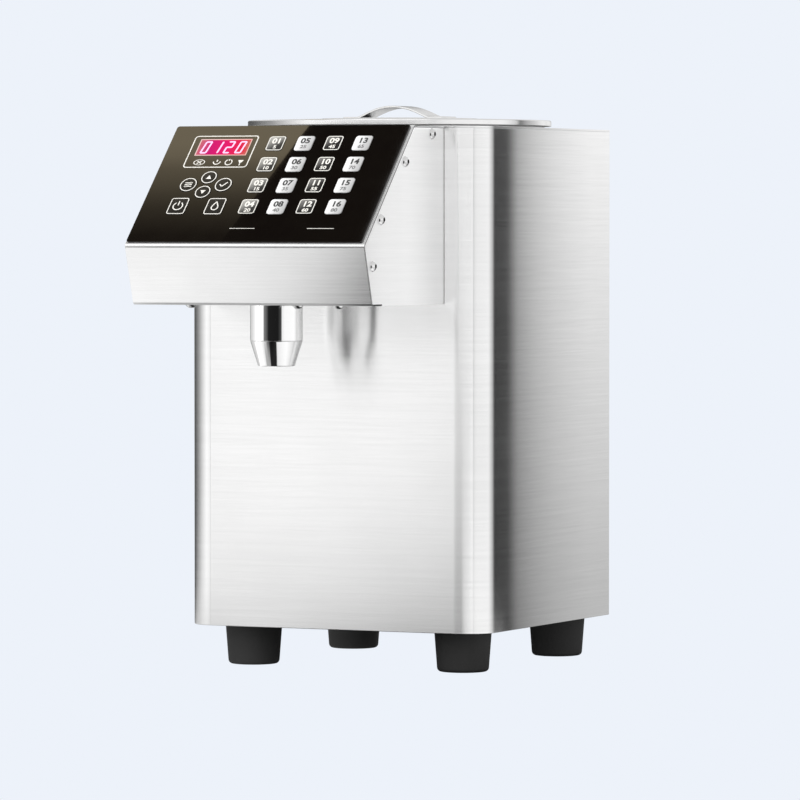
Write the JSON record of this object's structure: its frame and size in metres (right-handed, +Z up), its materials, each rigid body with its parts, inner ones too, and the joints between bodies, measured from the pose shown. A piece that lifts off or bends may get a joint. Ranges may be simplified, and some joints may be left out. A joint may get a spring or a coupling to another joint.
{
  "type": "fructose dispenser",
  "caption": "Counter-top syrup dispenser: steel casing with a lidded tank, a sloping keypad head that doses by key, and a drip-free nozzle over a cup space.",
  "frame": {"origin": "on the standing surface, under the middle of the whole object", "axes": "+X to the operator's right, -Y towards the operator, +Z up"},
  "size_m": [0.265, 0.3997, 0.4517],
  "materials": {
    "casing_steel": "horizontal brush lines, satin",
    "tank_steel": "satin",
    "lid_steel": "spun, fine circular lines",
    "handle_steel": "polished strap",
    "nozzle_chrome": "mirror bright",
    "screw_steel": "bright, slightly worn",
    "valve_steel": "turned",
    "gear_steel": "machined",
    "foot_rubber": "smooth, slightly dusty",
    "gasket_rubber": "translucent silicone",
    "overlay_black": "hard gloss sheet",
    "key_silver": "silver print under gloss",
    "key_dark": "dark print under gloss",
    "window_red": "clear red tinted",
    "display_black": "moulded",
    "board_green": "solder mask",
    "switch_grey": "moulded",
    "hose_silicone": "soft translucent",
    "pump_alloy": "cast and faced",
    "motor_black": "black enamel",
    "heater_silicone": "orange silicone",
    "supply_case": "zinc plated sheet",
    "moulded_black": "moulded, fine texture"
  },
  "bodies": {
    "dispenser": {"body_shell": "casing_steel", "top_deck": "casing_steel", "rear_panel": "casing_steel", "base_plate": "casing_steel", "rubber_feet": "foot_rubber", "head_cover": "casing_steel", "head_cheek_left": "casing_steel", "head_cheek_right": "casing_steel", "head_floor": "casing_steel", "keypad_overlay": "overlay_black", "display_window": "window_red", "display_module": "display_black", "control_board": "board_green", "key_switches": "switch_grey", "nozzle_body": "nozzle_chrome", "nozzle_tip": "nozzle_chrome", "nozzle_nut": "screw_steel", "valve_spring": "valve_steel", "tank": "tank_steel", "tank_outlet": "valve_steel", "heater_band": "heater_silicone", "suction_hose": "hose_silicone", "delivery_hose": "hose_silicone", "pump_body": "pump_alloy", "pump_cover": "pump_alloy", "pump_bracket": "casing_steel", "pump_motor": "motor_black", "power_supply": "supply_case", "switch_housing": "moulded_black", "power_inlet": "moulded_black", "casing_screws": "screw_steel"},
    "dose_key_1": {"dose_key_1": "key_dark"},
    "dose_key_2": {"dose_key_2": "key_dark"},
    "dose_key_3": {"dose_key_3": "key_dark"},
    "dose_key_4": {"dose_key_4": "key_dark"},
    "dose_key_5": {"dose_key_5": "key_silver"},
    "dose_key_6": {"dose_key_6": "key_silver"},
    "dose_key_7": {"dose_key_7": "key_silver"},
    "dose_key_8": {"dose_key_8": "key_silver"},
    "dose_key_9": {"dose_key_9": "key_dark"},
    "dose_key_10": {"dose_key_10": "key_dark"},
    "dose_key_11": {"dose_key_11": "key_dark"},
    "dose_key_12": {"dose_key_12": "key_dark"},
    "dose_key_13": {"dose_key_13": "key_silver"},
    "dose_key_14": {"dose_key_14": "key_silver"},
    "dose_key_15": {"dose_key_15": "key_silver"},
    "dose_key_16": {"dose_key_16": "key_silver"},
    "set_key": {"set_key": "key_dark"},
    "save_key": {"save_key": "key_dark"},
    "up_key": {"up_key": "key_dark"},
    "down_key": {"down_key": "key_dark"},
    "power_key": {"power_key": "key_dark"},
    "rinse_key": {"rinse_key": "key_dark"},
    "lid": {"lid": "lid_steel", "lid_handle": "handle_steel", "lid_gasket": "gasket_rubber"},
    "rocker": {"switch_rocker": "moulded_black"},
    "drive_gear": {"drive_gear": "gear_steel"},
    "driven_gear": {"driven_gear": "gear_steel"},
    "valve": {"valve_poppet": "valve_steel"}
  },
  "joints": [
    {"name": "dose_key_1_press", "type": "slide", "parent": "dispenser", "child": "dose_key_1", "axis": [0, 0.7239, -0.6899], "range_m": [0, 0.0006], "stiffness_N_per_m": 300, "springref_m": -0.002},
    {"name": "dose_key_2_press", "type": "slide", "parent": "dispenser", "child": "dose_key_2", "axis": [0, 0.7239, -0.6899], "range_m": [0, 0.0006], "stiffness_N_per_m": 300, "springref_m": -0.002},
    {"name": "dose_key_3_press", "type": "slide", "parent": "dispenser", "child": "dose_key_3", "axis": [0, 0.7239, -0.6899], "range_m": [0, 0.0006], "stiffness_N_per_m": 300, "springref_m": -0.002},
    {"name": "dose_key_4_press", "type": "slide", "parent": "dispenser", "child": "dose_key_4", "axis": [0, 0.7239, -0.6899], "range_m": [0, 0.0006], "stiffness_N_per_m": 300, "springref_m": -0.002},
    {"name": "dose_key_5_press", "type": "slide", "parent": "dispenser", "child": "dose_key_5", "axis": [0, 0.7239, -0.6899], "range_m": [0, 0.0006], "stiffness_N_per_m": 300, "springref_m": -0.002},
    {"name": "dose_key_6_press", "type": "slide", "parent": "dispenser", "child": "dose_key_6", "axis": [0, 0.7239, -0.6899], "range_m": [0, 0.0006], "stiffness_N_per_m": 300, "springref_m": -0.002},
    {"name": "dose_key_7_press", "type": "slide", "parent": "dispenser", "child": "dose_key_7", "axis": [0, 0.7239, -0.6899], "range_m": [0, 0.0006], "stiffness_N_per_m": 300, "springref_m": -0.002},
    {"name": "dose_key_8_press", "type": "slide", "parent": "dispenser", "child": "dose_key_8", "axis": [0, 0.7239, -0.6899], "range_m": [0, 0.0006], "stiffness_N_per_m": 300, "springref_m": -0.002},
    {"name": "dose_key_9_press", "type": "slide", "parent": "dispenser", "child": "dose_key_9", "axis": [0, 0.7239, -0.6899], "range_m": [0, 0.0006], "stiffness_N_per_m": 300, "springref_m": -0.002},
    {"name": "dose_key_10_press", "type": "slide", "parent": "dispenser", "child": "dose_key_10", "axis": [0, 0.7239, -0.6899], "range_m": [0, 0.0006], "stiffness_N_per_m": 300, "springref_m": -0.002},
    {"name": "dose_key_11_press", "type": "slide", "parent": "dispenser", "child": "dose_key_11", "axis": [0, 0.7239, -0.6899], "range_m": [0, 0.0006], "stiffness_N_per_m": 300, "springref_m": -0.002},
    {"name": "dose_key_12_press", "type": "slide", "parent": "dispenser", "child": "dose_key_12", "axis": [0, 0.7239, -0.6899], "range_m": [0, 0.0006], "stiffness_N_per_m": 300, "springref_m": -0.002},
    {"name": "dose_key_13_press", "type": "slide", "parent": "dispenser", "child": "dose_key_13", "axis": [0, 0.7239, -0.6899], "range_m": [0, 0.0006], "stiffness_N_per_m": 300, "springref_m": -0.002},
    {"name": "dose_key_14_press", "type": "slide", "parent": "dispenser", "child": "dose_key_14", "axis": [0, 0.7239, -0.6899], "range_m": [0, 0.0006], "stiffness_N_per_m": 300, "springref_m": -0.002},
    {"name": "dose_key_15_press", "type": "slide", "parent": "dispenser", "child": "dose_key_15", "axis": [0, 0.7239, -0.6899], "range_m": [0, 0.0006], "stiffness_N_per_m": 300, "springref_m": -0.002},
    {"name": "dose_key_16_press", "type": "slide", "parent": "dispenser", "child": "dose_key_16", "axis": [0, 0.7239, -0.6899], "range_m": [0, 0.0006], "stiffness_N_per_m": 300, "springref_m": -0.002},
    {"name": "set_key_press", "type": "slide", "parent": "dispenser", "child": "set_key", "axis": [0, 0.7239, -0.6899], "range_m": [0, 0.0006], "stiffness_N_per_m": 300, "springref_m": -0.002},
    {"name": "save_key_press", "type": "slide", "parent": "dispenser", "child": "save_key", "axis": [0, 0.7239, -0.6899], "range_m": [0, 0.0006], "stiffness_N_per_m": 300, "springref_m": -0.002},
    {"name": "up_key_press", "type": "slide", "parent": "dispenser", "child": "up_key", "axis": [0, 0.7239, -0.6899], "range_m": [0, 0.0006], "stiffness_N_per_m": 300, "springref_m": -0.002},
    {"name": "down_key_press", "type": "slide", "parent": "dispenser", "child": "down_key", "axis": [0, 0.7239, -0.6899], "range_m": [0, 0.0006], "stiffness_N_per_m": 300, "springref_m": -0.002},
    {"name": "power_key_press", "type": "slide", "parent": "dispenser", "child": "power_key", "axis": [0, 0.7239, -0.6899], "range_m": [0, 0.0006], "stiffness_N_per_m": 300, "springref_m": -0.002},
    {"name": "rinse_key_press", "type": "slide", "parent": "dispenser", "child": "rinse_key", "axis": [0, 0.7239, -0.6899], "range_m": [0, 0.0006], "stiffness_N_per_m": 300, "springref_m": -0.002},
    {"name": "lid_lift", "type": "slide", "parent": "dispenser", "child": "lid", "axis": [0, 0, 1], "range_m": [0, 0.12]},
    {"name": "rocker_tilt", "type": "hinge", "parent": "dispenser", "child": "rocker", "pos_m": [-0.005, 0.19161, 0.1145], "axis": [1, 0, 0], "range_deg": [0, 16]},
    {"name": "drive_gear_spin", "type": "hinge", "parent": "dispenser", "child": "drive_gear", "pos_m": [-0.085, 0.01551, 0.0725], "axis": [1, 0, 0], "continuous": true},
    {"name": "driven_gear_spin", "type": "hinge", "parent": "dispenser", "child": "driven_gear", "pos_m": [-0.085, 0.01551, 0.0965], "axis": [1, 0, 0], "continuous": true},
    {"name": "valve_open", "type": "slide", "parent": "dispenser", "child": "valve", "axis": [0, 0, -1], "range_m": [0, 0.003], "stiffness_N_per_m": 150, "springref_m": -0.006, "deforming": ["valve_spring"]}
  ],
  "couplings": [
    {"joint": "driven_gear_spin", "follows": "drive_gear_spin", "ratio": -1}
  ]
}
